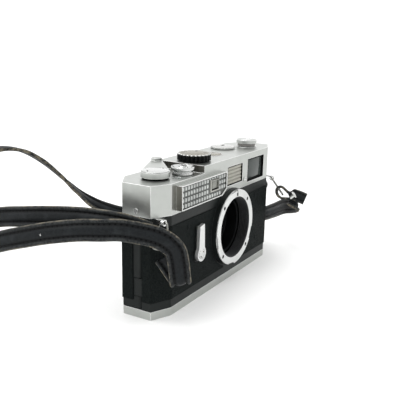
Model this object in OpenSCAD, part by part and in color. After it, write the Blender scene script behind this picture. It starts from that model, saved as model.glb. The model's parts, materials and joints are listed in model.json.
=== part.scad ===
// Rangefinder film camera body with a screw lens mount and a leather neck strap.
// The body is centred on X, its front faces -Y, and it stands on Z = 0.

/* [Body] */
// Width of the body
body_w = 140; // [136:1:146]
// Depth of the body, front to back
body_d = 31; // [30:0.5:33]
// Height of the base plate
base_h = 4.7; // [4.5:0.1:5]
// Height of the line where the top cover begins
cover_z = 55.7; // [55.5:0.1:56]
// Height of the lower deck, under the wind lever
deck_z = 72.4; // [72.2:0.1:72.6]
// Height of the raised deck
raised_z = 76.6; // [76.4:0.1:76.8]

/* [Lens mount] */
// Mount centre, sideways
mount_x = 7; // [6:0.5:8]
// Mount centre, above the base
mount_z = 34.1; // [34:0.1:34.5]
// Outer radius of the mount ring
mount_r = 23.3; // [22.5:0.1:24]
// Radius of the mount's thread, at its crests
thread_r = 18.95; // [18.9:0.01:19]
// How far the mount ring stands out of the front
mount_out = 4; // [3.5:0.1:4.2]

/* [Controls] */
// Angle that the back is opened by in the model
door_angle = 0; // [0:5:55]
// Radius of the shutter speed dial
speed_r = 9.8; // [9:0.1:10]
// Radius of the rewind knob
knob_r = 6.8; // [6.5:0.1:7]

/* [Strap] */
// Width of the neck strap
strap_w = 11; // [9:0.5:12]
// Thickness of the neck strap
strap_t = 2.6; // [2:0.1:3]

/* [Hidden] */
$fn = 64;
half_w = body_w / 2;
half_d = body_d / 2;
front_cut = [11.4, 5.2];
back_cut = [12.5, 8.1];
step_x = -25.8;
gap = 0.3;
skin = 0.5;
cover_wall = 1.3;
door_y = 0.5;
door_wall = 2;
film_y = 9.3;
front_y = -half_d;
mount_face_y = front_y - mount_out;
hinge_at = [-68.3, -2.6];
wind_at = [-52.5, -1];
// winding lever: hub to tip, and its turn at rest
lever_reach = 31;
lever_turn = 33.5;
release_at = [-35, -7];
counter_at = [-44.5, -9.8];
counter_hub = [-44.5, -6.8];
speed_at = [-15, -2];
meter_at = [10, 0.5];
meter_r = 6.4;
frame_at = [34.5, 6];
rewind_at = [52, -2.5];
key_at = [52, 0];
bush_at = [-48, 0];
timer_at = [-32, 27.9];
timer_pin_r = 1.6;
cell_x = [-54.6, -6];
cell_z = [57.5, 70.8];
cell_out = 3.8;
cell_cut = [5.2, 3];
cell_rim = 0.5;
cell_sink = 1.6;
rf_window_x = [-23.4, -15.6];
rf_window_z = [62.5, 68.7];
light_window_x = [1.8, 21.5];
light_window_z = [59.9, 71.4];
finder_x = [28.4, 52.5];
finder_z = [57.9, 72.6];
eyepiece_at = [43, 65.3];
switch_at = [-2, 66];
socket_at = [-8, 48];
base_screw_x = [-62, -20, 20, 62];
leather_z = [9.7, 50];
knuckles = [[5, 12.1], [22.5, 41.7]];
gate_w = 36;
gate_h = 24;
lug_at = [66.8, -16, 53.9];
eye_r = 1.7;
eye_hole_r = 0.95;
eye_half_t = 0.85;
// Half width and distance below the lug, down one side of a strap ring
ring_half = [[1.8, 0], [3.1, 3.4], [3.1, 8], [3.9, 10.2], [3.9, 11.8], [2.2, 13.6]];
ring_wire = 0.6;
ring_tilt_left = 20;
ring_tilt_right = -40;
ring_twist_right = 24;

// One corner of the body's plan on a line set in from the outline by i
function cut_reach(c, i) = cos(atan(c[0] / c[1])) * half_w + sin(atan(c[0] / c[1])) * (half_d - c[1]) - i;
function corner_a(c, i) = [half_w - i,
    (cut_reach(c, i) - cos(atan(c[0] / c[1])) * (half_w - i)) / sin(atan(c[0] / c[1]))];
function corner_b(c, i) = [
    (cut_reach(c, i) - sin(atan(c[0] / c[1])) * (half_d - i)) / cos(atan(c[0] / c[1])), half_d - i];
function half_outline(i) = [corner_b(back_cut, i), corner_a(back_cut, i),
    [corner_a(front_cut, i)[0], -corner_a(front_cut, i)[1]],
    [corner_b(front_cut, i)[0], -corner_b(front_cut, i)[1]]];
function outline(i) = concat(half_outline(i),
    [for (k = [3:-1:0]) [-half_outline(i)[k][0], half_outline(i)[k][1]]]);

// The body's plan as a slab, set in by i
module slab(z0, z1, i = 0) {
    translate([0, 0, z0]) linear_extrude(z1 - z0) polygon(outline(i));
}

module box(x, y, z) {
    translate([x[0], y[0], z[0]]) cube([x[1] - x[0], y[1] - y[0], z[1] - z[0]]);
}

module post(at, r, z0, z1) {
    translate([at[0], at[1], z0]) cylinder(r = r, h = z1 - z0);
}

// A cylinder along Y between two depths
module barrel(x, z, r, y0, y1) {
    translate([x, y0, z]) rotate([-90, 0, 0]) cylinder(r = r, h = y1 - y0);
}

// A ring of notches cut round a dial's rim
module rim_notches(at, r, z0, z1, count, notch_r) {
    for (k = [0:count - 1])
        post([at[0] + r * cos(k * 360 / count), at[1] + r * sin(k * 360 / count)], notch_r, z0, z1);
}

chamber_floor = 7.5;
cassette_r = 13.3;
cassette_at = [52, -1.2];
spool_at = [-48.5, -1.2];
spool_room_r = 12.5;
sprocket_at = [-25, 4.2];
drum_at = [-24, -6];
core_top = 53.5;

module body_casting() {
    color("#1c1e1f") difference() {
        union() {
            intersection() {
                slab(base_h, cover_z);
                box([-half_w, half_w], [-half_d, door_y - gap], [base_h, cover_z]);
            }
            intersection() {
                slab(base_h + gap, cover_z - gap, door_wall + 2 * gap);
                box([-58, 66], [door_y - 1, film_y - 1.3], [base_h, cover_z]);
            }
        }
        // cassette and take-up chambers, open to the back
        post(cassette_at, cassette_r, chamber_floor, core_top);
        box([cassette_at[0] - cassette_r, cassette_at[0] + cassette_r], [cassette_at[1], 16],
            [chamber_floor, core_top]);
        post(spool_at, spool_room_r, chamber_floor, core_top);
        box([spool_at[0] - spool_room_r, spool_at[0] + spool_room_r], [spool_at[1], 16],
            [chamber_floor, core_top]);
        post(sprocket_at, 5.2, 12, 47);
        box([sprocket_at[0] - 5.2, sprocket_at[0] + 5.2], [sprocket_at[1], 16], [12, 47]);
        // light box and throat behind the lens mount
        barrel(mount_x, mount_z, 20.5, -20, -3);
        box([mount_x - 19, mount_x + 19], [-4, 9], [mount_z - 13, mount_z + 13]);
        // slot that the shutter curtain runs in
        box([-18.5, 34], [5.4, 9], [14.5, 50.5]);
        post(drum_at, 4.2, 14.5, 50.5);
        // film door hinge pockets at the end, with one knuckle left between them
        box([-71, hinge_at[0] + 2.3], [-4.6, 1], [base_h - 1, knuckles[0][1] + gap]);
        box([-71, hinge_at[0] + 2.3], [-4.6, 1], [knuckles[1][0] - gap, knuckles[1][1] + gap]);
        translate([hinge_at[0], hinge_at[1], base_h - 1]) cylinder(r = 0.9, h = 45, $fn = 32);
        // latch slot at the other end
        box([half_w - 1.6, half_w + 1], [-6.2, -2.2], [28, 41]);
        // rewind shaft, spool spindle, sprocket spindle and drum spindle holes
        post(rewind_at, 4.05, core_top - 1, cover_z + 1);
        post(key_at, 2.05, base_h - 1, base_h + 0.5);
        post(spool_at, 1.55, 5, cover_z + 1);
        post(sprocket_at, 1.25, 8, cover_z + 1);
        // sync socket hole
        translate([half_w - 6, socket_at[0], socket_at[1]]) rotate([0, 90, 0]) cylinder(r = 2.6, h = 8);
        // lug seats and the self-timer's spindle hole
        for (s = [-1, 1])
            lug_stud(s);
        barrel(timer_at[0], timer_at[1], timer_pin_r + 0.1, -20, -11);
    }
}

module base_plate() {
    color("#c9cbc6") difference() {
        slab(0, base_h);
        post(key_at, 8.3, -1, 3.4);
        post(key_at, 2.05, 3, base_h + 1);
        post(bush_at, 5.5, -1, base_h + 1);
        for (x = base_screw_x)
            translate([x, 8, -0.1]) cylinder(r = 1.6, h = 0.7);
    }
}

module tripod_bush() {
    color("#b8bab6") difference() {
        post(bush_at, 5.5, 0, base_h);
        post(bush_at, 2.6, -1, base_h + 1);
    }
}

// The round key that locks the back, with a hollow for its folding wing
module base_key() {
    color("#c2c4c0") {
        difference() {
            post(key_at, 8, 0.2, 3.2);
            box([key_at[0] - 6.6, key_at[0] + 6.6], [key_at[1] - 3.4, key_at[1] + 5.6], [-1, 1.9]);
        }
        post(key_at, 2, 3.1, base_h + 0.2);
    }
}

module base_key_wing() {
    color("#d0d2ce") difference() {
        intersection() {
            post(key_at, 6.2, 0.3, 1.6);
            box([key_at[0] - 6.2, key_at[0] + 6.2], [key_at[1] - 3.1, key_at[1] + 5.2], [0, 2]);
        }
        post([key_at[0], key_at[1] + 1], 2.4, 0, 2);
    }
}

// Upper shell with its lower deck on the lever side and the raised deck beyond the step
module top_cover() {
    color("#c9cbc6") difference() {
        union() {
            slab(cover_z, deck_z);
            difference() {
                slab(cover_z, raised_z);
                box([-80, step_x], [-20, 20], [deck_z, 80]);
                translate([wind_at[0], wind_at[1], deck_z]) rotate(lever_turn) linear_extrude(8)
                    lever_outline(0.5);
            }
        }
        slab(cover_z - 1, deck_z - cover_wall, cover_wall);
        intersection() {
            slab(cover_z, raised_z - cover_wall, cover_wall);
            box([step_x + cover_wall, 80], [-20, 8], [cover_z, raised_z - cover_wall]);
        }
        // windows in the front
        box(finder_x, [-20, -12], finder_z);
        box(light_window_x, [-20, -12], light_window_z);
        box([cell_x[0] + 2, cell_x[1] - 7], [-20, -12], [cell_z[0] + 2, cell_z[1] - 2]);
        // eyepiece hole in the back
        barrel(eyepiece_at[0], eyepiece_at[1], 5.6, 12, 20);
        // shafts and windows in the decks
        post(wind_at, 3.05, deck_z - 3, deck_z + 1);
        post(release_at, 3.9, deck_z - 3, deck_z + 1);
        post(counter_at, 2.2, deck_z - 3, deck_z + 1);
        post(speed_at, 3.05, raised_z - 3, raised_z + 1);
        post(meter_at, meter_r + 0.1, raised_z - 3, raised_z + 1);
        post(frame_at, 2.05, raised_z - 3, raised_z + 1);
        post(rewind_at, 4.05, raised_z - 3, raised_z + 1);
        barrel(switch_at[0], switch_at[1], 4.2, 12, 20);
    }
}

module cell_profile(i) {
    x = [cell_x[0] + i, cell_x[1] - i];
    z = [cell_z[0] + i, cell_z[1] - i];
    polygon([[x[0], z[0]], [x[1] - cell_cut[0], z[0]], [x[1], z[0] + cell_cut[1]], [x[1], z[1]],
        [x[0], z[1]]]);
}

module on_front(y0, y1) {
    translate([0, y1, 0]) rotate([90, 0, 0]) linear_extrude(y1 - y0) children();
}

module cell_housing() {
    color("#d4d6d2") difference() {
        on_front(front_y - cell_out, front_y) cell_profile(0);
        on_front(front_y - cell_out - 1, front_y - cell_out + cell_sink)
            cell_profile(cell_rim);
        box([rf_window_x[0] + 1, rf_window_x[1] - 1], [-25, -12], [rf_window_z[0] + 1,
            rf_window_z[1] - 1]);
    }
}

cell_columns = 17;
cell_rows = 4;
// Lens sheet over the light cell: small raised cells in rows
module cell_grid() {
    pitch_x = (cell_x[1] - cell_x[0] - 2 * cell_rim) / cell_columns;
    pitch_z = (cell_z[1] - cell_z[0] - 2 * cell_rim) / cell_rows;
    y = front_y - cell_out + cell_sink;
    color("#dfe2df") difference() {
        union() {
            on_front(y - 0.7, y) cell_profile(cell_rim);
            for (i = [0:cell_columns - 1], j = [0:cell_rows - 1])
                if (i < cell_columns - 2 || j > 0)
                    translate([cell_x[0] + cell_rim + (i + 0.15) * pitch_x, y - 1.1,
                        cell_z[0] + cell_rim + (j + 0.15) * pitch_z])
                        cube([pitch_x * 0.7, 0.6, pitch_z * 0.7]);
        }
        box([rf_window_x[0] - 0.3, rf_window_x[1] + 0.3], [-25, -12], [rf_window_z[0] - 0.3,
            rf_window_z[1] + 0.3]);
    }
}

module rangefinder_window() {
    color("#5d655f") box(rf_window_x, [front_y - cell_out + 1, front_y - cell_out + 1.6], rf_window_z);
}

// Viewfinder glass behind a black bezel
module finder_window() {
    color("#39413d") difference() {
        box([finder_x[0] + 0.1, finder_x[1] - 0.1], [front_y + 0.4, front_y + 2.2],
            [finder_z[0] + 0.1, finder_z[1] - 0.1]);
        box([finder_x[0] + 3, finder_x[1] - 3], [front_y, front_y + 1.2],
            [finder_z[0] + 2.5, finder_z[1] - 2.5]);
    }
}

rib_count = 5;
module frame_light_window() {
    rib = (light_window_z[1] - light_window_z[0]) / rib_count;
    color("#a9a79c") {
        box([light_window_x[0] + 0.1, light_window_x[1] - 0.1], [front_y + 1, front_y + 2.2],
            [light_window_z[0] + 0.1, light_window_z[1] - 0.1]);
        for (k = [0:rib_count - 1])
            box([light_window_x[0] + 0.3, light_window_x[1] - 0.3], [front_y + 0.4, front_y + 1],
                [light_window_z[0] + (k + 0.2) * rib, light_window_z[0] + (k + 0.75) * rib]);
    }
}

module finder_block() {
    color("#8d9994") {
        box([32, 47.5], [-12.5, 7.8], [59, 70.9]);
        box([-22, 31.9], [-11.5, -5.5], [61, 70.5]);
    }
}

module eyepiece() {
    color("#26282a") difference() {
        union() {
            barrel(eyepiece_at[0], eyepiece_at[1], 5.5, 11.2, half_d);
            barrel(eyepiece_at[0], eyepiece_at[1], 7.5, half_d, half_d + 2.2);
        }
        barrel(eyepiece_at[0], eyepiece_at[1], 4.2, 13, half_d + 3);
    }
}

notch_angles = [22, 100, 168, 262];
screw_angles = [45:90:315];
screw_ring_r = 21.1;
module lens_mount() {
    color("#e2e4e1") difference() {
        union() {
            barrel(mount_x, mount_z, mount_r, mount_face_y, front_y);
            barrel(mount_x, mount_z, 20.4, front_y, front_y + 3);
        }
        barrel(mount_x, mount_z, thread_r, mount_face_y - 1, front_y + 4);
        for (a = notch_angles)
            translate([mount_x, mount_face_y + 1.2, mount_z]) rotate([0, a, 0])
                translate([mount_r - 1.1, -2, -4]) cube([3, 2, 8]);
        for (a = screw_angles)
            barrel(mount_x + screw_ring_r * cos(a), mount_z + screw_ring_r * sin(a), 1.25,
                mount_face_y - 1, mount_face_y + 1);
    }
}

module mount_screws() {
    color("#bfc1be") for (a = screw_angles)
        difference() {
            barrel(mount_x + screw_ring_r * cos(a), mount_z + screw_ring_r * sin(a), 1.2,
                mount_face_y + 0.15, mount_face_y + 1);
            translate([mount_x + screw_ring_r * cos(a), mount_face_y,
                mount_z + screw_ring_r * sin(a)]) rotate([0, a, 0])
                cube([0.4, 1, 3], center = true);
        }
}

module throat_baffle() {
    color("#111213") difference() {
        barrel(mount_x, mount_z, 18.9, front_y + 3.4, -3.2);
        barrel(mount_x, mount_z, 17.4, front_y, 0);
    }
}

rf_pivot = [mount_x, -6.4, mount_z + 14];
// Follower that a lens pushes back to focus the rangefinder
module rf_arm() {
    color("#9a9c99") {
        translate([rf_pivot[0] - 3, rf_pivot[1], rf_pivot[2]]) rotate([0, 90, 0]) cylinder(r = 1, h = 6);
        box([rf_pivot[0] - 1, rf_pivot[0] + 1], [rf_pivot[1] - 3.4, rf_pivot[1] + 0.5],
            [rf_pivot[2] - 0.8, rf_pivot[2] + 0.8]);
        translate([rf_pivot[0] - 1, rf_pivot[1] - 3.6, rf_pivot[2]]) rotate([0, 90, 0])
            cylinder(r = 2, h = 2);
    }
}

module timer_base() {
    color("#17191a") difference() {
        barrel(timer_at[0], timer_at[1], 5, front_y - 0.9, front_y);
        barrel(timer_at[0], timer_at[1], timer_pin_r + 0.1, front_y - 2, front_y + 1);
    }
}

timer_len = 17;
module timer_lever() {
    y0 = front_y - 3.2;
    y1 = front_y - 1.2;
    color("#dcdedb") {
        difference() {
            barrel(timer_at[0], timer_at[1], 4.3, y0, y1);
            barrel(timer_at[0], timer_at[1], 3.2, y0 - 1, y0 + 0.5);
        }
        barrel(timer_at[0], timer_at[1], 2.6, y0 - 0.1, y0 + 0.6);
        barrel(timer_at[0], timer_at[1], timer_pin_r, y1 - 0.1, front_y + 3);
        on_front(y0, y1) translate(timer_at)
            polygon([[-3, 2.5], [3, 2.5], [2.3, timer_len], [-2.3, timer_len - 0.8]]);
    }
}

// Outline of the winding lever round its own hub
module lever_outline(grow = 0) {
    circle(r = 7.8 + grow);
    polygon([[0, -7.6 - grow], [lever_reach, -3.2 - grow], [lever_reach, 3.2 + grow], [1, 7.5 + grow]]);
    translate([lever_reach, 0]) circle(r = 3.4 + grow);
}

// Winding lever: a tapered arm from its hub to a raised thumb tip past the back edge
module wind_lever() {
    z0 = deck_z + 1;
    z1 = deck_z + 4;
    color("#d3d5d1") {
        difference() {
            translate([wind_at[0], wind_at[1], z0]) rotate(lever_turn) linear_extrude(z1 - z0)
                lever_outline();
            post(wind_at, 5.4, z1 - 0.8, z1 + 1);
        }
        post(wind_at, 3, deck_z - 2, z0 + 0.1);
        translate([wind_at[0], wind_at[1], z1 - 0.5]) rotate(lever_turn) translate([lever_reach, 0, 0])
            cylinder(r = 3.1, h = 2.1);
    }
}

module wind_cap() {
    color("#dfe1de") difference() {
        post(wind_at, 5.3, deck_z + 3.2, deck_z + 4.4);
        for (s = [-1, 1])
            post([wind_at[0] + 3 * s, wind_at[1]], 0.6, deck_z + 3.8, deck_z + 5);
    }
}

module counter_disc() {
    color("#2a2c2d") {
        post(counter_hub, 5.2, deck_z - 2.4, deck_z - 1.7);
        post(counter_hub, 1, deck_z - 4, deck_z - 2.3);
    }
}

module counter_window() {
    color("#c8ccc8") post(counter_at, 2.15, deck_z - 1.2, deck_z - 0.1);
}

module release_collar() {
    color("#dadcd9") difference() {
        union() {
            post(release_at, 5.6, deck_z + 0.2, deck_z + 2.6);
            post(release_at, 6.5, deck_z + 2.6, deck_z + 4.6);
            post(release_at, 3.8, deck_z - 2, deck_z + 1);
        }
        post(release_at, 2.9, deck_z - 3, deck_z + 3.2);
        post(release_at, 4.6, deck_z + 3.2, deck_z + 5);
        rim_notches(release_at, 5.9, deck_z, deck_z + 2.2, 30, 0.35);
    }
}

module release_button() {
    color("#e4e6e3") difference() {
        union() {
            post(release_at, 2.85, deck_z - 4, deck_z + 4);
            post(release_at, 2.4, deck_z + 3.9, deck_z + 5);
        }
        post(release_at, 1.3, deck_z + 1.4, deck_z + 6);
    }
}

// Shutter speed dial: dark scalloped skirt and a pale top ring round a raised hub
module speed_dial() {
    color("#2b2d2e") difference() {
        union() {
            post(speed_at, speed_r, raised_z + 0.3, raised_z + 3.9);
            post(speed_at, speed_r - 0.4, raised_z + 3.8, raised_z + 4.4);
            post(speed_at, 3, raised_z - 2, raised_z + 0.4);
            post(speed_at, 4.6, raised_z + 4.3, raised_z + 4.7);
        }
        rim_notches(speed_at, speed_r + 0.35, raised_z, raised_z + 5, 24, 0.85);
    }
}

module meter_scale() {
    color("#b7b29c") post(meter_at, meter_r, raised_z - 2.4, raised_z - 1.7);
}

module meter_window() {
    color("#cfd3cf") post(meter_at, meter_r, raised_z - 0.8, raised_z - 0.05);
}

module meter_needle() {
    color("#1a1a1a") {
        post([meter_at[0], meter_at[1] - 3.8], 0.6, raised_z - 1.65, raised_z - 1.1);
        box([meter_at[0] - 0.15, meter_at[0] + 0.15], [meter_at[1] - 3.8, meter_at[1] + 3.6],
            [raised_z - 1.5, raised_z - 1.3]);
    }
}

module frame_dial() {
    color("#d8dad7") difference() {
        union() {
            post(frame_at, 8, raised_z + 0.2, raised_z + 1.4);
            post(frame_at, 3.2, raised_z + 1.3, raised_z + 2);
            post(frame_at, 2, raised_z - 2, raised_z + 0.3);
        }
        rim_notches(frame_at, 8.25, raised_z, raised_z + 2, 36, 0.5);
    }
}

module rewind_sleeve() {
    color("#c4c6c3") difference() {
        post(rewind_at, 4, raised_z - 16, raised_z + 0.4);
        post(rewind_at, 2.05, raised_z - 17, raised_z + 1);
    }
}

knob_top = raised_z + 4.7;
// Rewind knob with its shaft, and the fork that turns the film cassette
module rewind_knob() {
    color("#cfd1ce") {
        difference() {
            union() {
                post(rewind_at, knob_r - 1.2, raised_z + 0.6, knob_top - 2.2);
                post(rewind_at, knob_r, knob_top - 2.3, knob_top);
            }
            box([rewind_at[0] - 5.4, rewind_at[0] + 5.4], [rewind_at[1] - 1.9, rewind_at[1] + 1.9],
                [knob_top - 1.3, knob_top + 1]);
        }
        post(rewind_at, 2, 50.2, raised_z + 0.7);
        box([rewind_at[0] - 2.6, rewind_at[0] + 2.6], [rewind_at[1] - 0.6, rewind_at[1] + 0.6],
            [47.5, 50.3]);
    }
}

module rewind_crank() {
    color("#dcdedb") {
        box([rewind_at[0] - 5.1, rewind_at[0] + 5.1], [rewind_at[1] - 1.6, rewind_at[1] + 1.6],
            [knob_top - 1, knob_top]);
    }
}

// Flat stud that holds a lug's eye, set into the casting under the top cover
module lug_stud(side) {
    box([side * lug_at[0] - 1.1, side * lug_at[0] + 1.1], [lug_at[1], -8], [lug_at[2] + 1.05,
        cover_z - 0.1]);
}

// Strap lug: an eye turned the way its ring hangs, on its stud
module lug(side, turn, tilt) {
    color("#d9dbd8") difference() {
        union() {
            lug_stud(side);
            translate([side * lug_at[0], lug_at[1], lug_at[2]]) rotate([tilt, 0, 0]) rotate([90, 0, turn])
                cylinder(r = eye_r, h = 2 * eye_half_t, center = true);
        }
        translate([side * lug_at[0], lug_at[1], lug_at[2]]) rotate([tilt, 0, 0]) rotate([90, 0, turn])
            cylinder(r = eye_hole_r, h = 9, center = true);
    }
}

module lug_left() {
    lug(-1, 0, 0);
}

module lug_right() {
    lug(1, ring_twist_right - 90, ring_tilt_right);
}

// Triangular wire ring, its apex at the origin and its bar below
module strap_ring() {
    outline = concat(ring_half,
        [for (k = [len(ring_half) - 1:-1:0]) [-ring_half[k][0], ring_half[k][1]]]);
    count = len(outline);
    for (k = [0:count - 1])
        hull()
            for (q = [outline[k], outline[(k + 1) % count]])
                translate([0, q[0], -q[1]]) sphere(r = ring_wire, $fn = 16);
}

module ring_left() {
    color("#e6e8e5") translate([-lug_at[0], lug_at[1], lug_at[2]]) rotate([0, ring_tilt_left, 0])
        strap_ring();
}

module ring_right() {
    color("#e6e8e5") translate(lug_at) rotate([ring_tilt_right, 0, 0]) rotate(ring_twist_right - 90)
        strap_ring();
}

// Back cover: a shallow tray that wraps both ends of the body and hinges at one of them
module back_door() {
    color("#1b1d1e") translate([hinge_at[0], hinge_at[1], 0]) rotate(door_angle)
        translate([-hinge_at[0], -hinge_at[1], 0]) {
            difference() {
                intersection() {
                    slab(base_h + gap, cover_z - gap);
                    box([-80, 80], [door_y, 20], [0, 80]);
                }
                slab(base_h - 1, cover_z + 1, door_wall);
                post(hinge_at, 3.5, 0, 60);
            }
            // hinge knuckles above and below the body's own
            for (z = knuckles) difference() {
                union() {
                    post(hinge_at, 1.7, z[0], z[1]);
                    box([hinge_at[0] - 1.7, hinge_at[0] + 0.3], [hinge_at[1], door_y + 1], z);
                }
                post(hinge_at, 0.85, 0, 60);
            }
        }
}

module hinge_pin() {
    color("#a8aaa7") post(hinge_at, 0.8, base_h + 0.4, 41.6);
}

module door_leather() {
    color("#232526") difference() {
        intersection() {
            slab(leather_z[0], leather_z[1], -skin);
            box([-80, 80], [door_y + 0.2, 20], [0, 80]);
        }
        slab(5, 60);
    }
}

module pressure_plate() {
    color("#4a4c4d") box([-22, 36], [film_y + 0.5, film_y + 1.6], [17, 51.5]);
}

module plate_springs() {
    color("#b9bbb8") for (x = [-6, 20])
        box([x - 4, x + 4], [film_y + 1.75, half_d - door_wall], [30, 38]);
}

module door_latch() {
    color("#8f918e") {
        box([half_w - 1.4, half_w + 0.6], [-6, -2.4], [29.5, 36.5]);
        for (z = [30.5:1:35.5])
            box([half_w + 0.5, half_w + 0.9], [-6, -2.4], [z, z + 0.5]);
    }
}

// Leathercloth on the front, its ends and the slanted corners, between two heights
module front_leather(side) {
    color("#232526") difference() {
        intersection() {
            slab(leather_z[0], leather_z[1], -skin);
            box(side < 0 ? [-80, mount_x - 8] : [mount_x + 8, 80], [-20,
                side < 0 ? -5 : door_y - 1], [0, 80]);
        }
        slab(5, 60);
        barrel(mount_x, mount_z, mount_r + 1.2, -20, 0);
        if (side < 0) barrel(timer_at[0], timer_at[1], 5.3, -20, -10);
        if (side > 0) box([half_w - 1, half_w + 2], [-7, 1], [27, 42]);
        if (side > 0) translate([half_w - 2, socket_at[0], socket_at[1]]) rotate([0, 90, 0])
            cylinder(r = 4.2, h = 8);
    }
}

module front_leather_left() {
    front_leather(-1);
}

module front_leather_right() {
    front_leather(1);
}

// Plate with the picture window and the film rails
module film_gate() {
    color("#6d6f6e") difference() {
        union() {
            box([-18.2, 33.7], [8.1, 8.9], [14.8, 50.2]);
            for (z = [18.6, 48.1])
                box([-18.2, 33.7], [8.8, film_y], [z - 1, z + 1]);
        }
        box([mount_x - gate_w / 2, mount_x + gate_w / 2], [5, 12], [mount_z - gate_h / 2,
            mount_z + gate_h / 2]);
    }
}

module shutter_curtain() {
    color("#3a3c3d") box([-17.5, 30], [6.2, 6.6], [15.5, 49.5]);
}

module curtain_drum() {
    color("#77797a") post(drum_at, 3.6, 15.2, 49.8);
}

module take_up_spool() {
    color("#1f2021") {
        difference() {
            post(spool_at, 5.5, 11, 49.5);
            for (a = [0:90:270])
                translate([spool_at[0], spool_at[1], 13]) rotate(a) translate([4, -0.8, 0])
                    cube([4, 1.6, 33]);
        }
        post(spool_at, 9.5, 8.5, 11.1);
        post(spool_at, 8, 49.4, 52);
        post(spool_at, 1.5, 6, 54.8);
    }
}

sprocket_teeth = 8;
module sprocket() {
    color("#8b8d8c") {
        post(sprocket_at, 3.4, 16.5, 44);
        post(sprocket_at, 1.2, 9, 54.8);
        for (k = [0:sprocket_teeth - 1], z = [19, 41.5])
            translate([sprocket_at[0], sprocket_at[1], z]) rotate(k * 360 / sprocket_teeth)
                translate([3, -0.4, -0.7]) cube([1.3, 0.8, 1.4]);
    }
}

module sync_socket() {
    color("#d0c9b0") translate([half_w - 5, socket_at[0], socket_at[1]]) rotate([0, 90, 0]) difference() {
        union() {
            cylinder(r = 2.55, h = 5.2);
            translate([0, 0, 5]) cylinder(r = 3.6, h = 1);
        }
        translate([0, 0, 1]) cylinder(r = 1.75, h = 8);
    }
}

module meter_switch() {
    color("#c6c8c5") {
        barrel(switch_at[0], switch_at[1], 4.1, 14, half_d + 0.8);
        box([switch_at[0] - 1.4, switch_at[0] + 1.4], [half_d + 0.7, half_d + 2],
            [switch_at[1] - 3.5, switch_at[1] + 3.5]);
    }
}

module slotted_head(r, h) {
    difference() {
        cylinder(r = r, h = h);
        translate([0, 0, h]) cube([3 * r, 0.5, 0.7], center = true);
    }
}

module cover_screws() {
    color("#c5c7c4") {
        for (s = [-1, 1])
            translate([s * half_w, -1.2, 58.6]) rotate([0, s * 90, 0]) slotted_head(1.4, 0.4);
        translate([24.9, front_y, 60.3]) rotate([90, 0, 0]) slotted_head(1.5, 0.5);
        for (x = base_screw_x)
            translate([x, 8, 0.55]) rotate([180, 0, 0]) slotted_head(1.5, 0.4);
    }
}

// A flat strap swept along [point, direction of its width] pairs
function unit(v) = v / norm(v);
function route_dir(route, k) = unit(route[min(k + 1, len(route) - 1)][0] - route[max(k - 1, 0)][0]);
function strap_ring_points(route, k) = let (
    t = route_dir(route, k),
    w0 = route[k][1],
    w = unit(w0 - t * (w0 * t)),
    n = cross(t, w))
    [for (c = [[1, 0.4], [0.75, 1], [-0.75, 1], [-1, 0.4], [-1, -0.4], [-0.75, -1], [0.75, -1], [1,
        -0.4]])
        route[k][0] + w * c[0] * strap_w / 2 + n * c[1] * strap_t / 2];
module strap_sweep(route) {
    count = len(route);
    points = [for (k = [0:count - 1]) each strap_ring_points(route, k)];
    faces = concat([[for (j = [0:7]) j]], [[for (j = [7:-1:0]) (count - 1) * 8 + j]],
        [for (k = [0:count - 2], j = [0:7]) [k * 8 + j, (k + 1) * 8 + (j + 1) % 8, k * 8 + (j + 1) % 8]],
        [for (k = [0:count - 2], j = [0:7]) [k * 8 + j, (k + 1) * 8 + j, (k + 1) * 8 + (j + 1) % 8]]);
    color("#1d1e1f") polyhedron(points = points, faces = faces);
}

up = [0, 0, 1];
near_route = [
    [[-75, -9.5, 50.5], [0.3, 0, 1]],
    [[-80, -4.5, 53.5], [0.2, 0.1, 1]],
    [[-83, -1, 55], [0.2, 0.1, 1]],
    [[-86.5, 8, 56], [0.2, 0.1, 1]],
    [[-89, 19, 56], [0.2, 0.1, 1]],
    [[-90.5, 38, 54], [0.2, 0.1, 1]],
    [[-91.5, 55, 51.5], [0.2, 0.1, 1]],
    [[-91.5, 74, 48], [0.2, 0.1, 1]],
    [[-92, 92, 42], up],
    [[-93, 108, 33.5], up],
    [[-94, 124, 24], up],
    [[-95, 140, 17.2], up]];
tail_route = [
    [[-69.5, -18, 37], [0.45, -0.9, -0.1]],
    [[-68, -20.5, 33], [0.5, -0.9, 0]],
    [[-67, -23.5, 28.5], [0.5, -0.9, 0.1]],
    [[-66.8, -26, 25.4], [0.5, -0.8, 0.2]],
    [[-68.1, -27.4, 24.4], [0.5, -0.8, 0.2]],
    [[-69.4, -28, 26.9], [0.5, -0.8, 0.2]],
    [[-69.6, -27.5, 31.6], [0.5, -0.8, 0.2]],
    [[-70.2, -27, 37.5], [0.5, -0.8, 0.2]],
    [[-71.2, -26, 42.5], [0.5, -0.75, 0.4]],
    [[-73, -24, 45.7], [0.5, -0.6, 0.6]],
    [[-75.5, -21, 48.3], [0.45, -0.3, 0.8]],
    [[-78.5, -17, 50.3], [0.4, -0.1, 0.9]],
    [[-83.5, -11, 52.2], [0.3, 0, 1]],
    [[-88, -5, 53.5], [0.2, 0.1, 1]],
    [[-93.5, 2.5, 53.5], [0.2, 0.1, 1]],
    [[-97.5, 11.5, 53], [0.2, 0.1, 1]],
    [[-102, 26.5, 50.3], [0.2, 0.1, 1]],
    [[-104.5, 41.5, 46.2], [0.2, 0.1, 1]],
    [[-106, 58, 41], [0.2, 0.1, 1]],
    [[-107, 76.5, 33.7], [0.2, 0.1, 1]],
    [[-107.3, 92, 24.5], [0.6, 0.1, 0.75]],
    [[-107.8, 106, 16.5], [0.95, 0.1, 0.2]],
    [[-108.5, 117, 13], [1, 0, 0]]];
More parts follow.
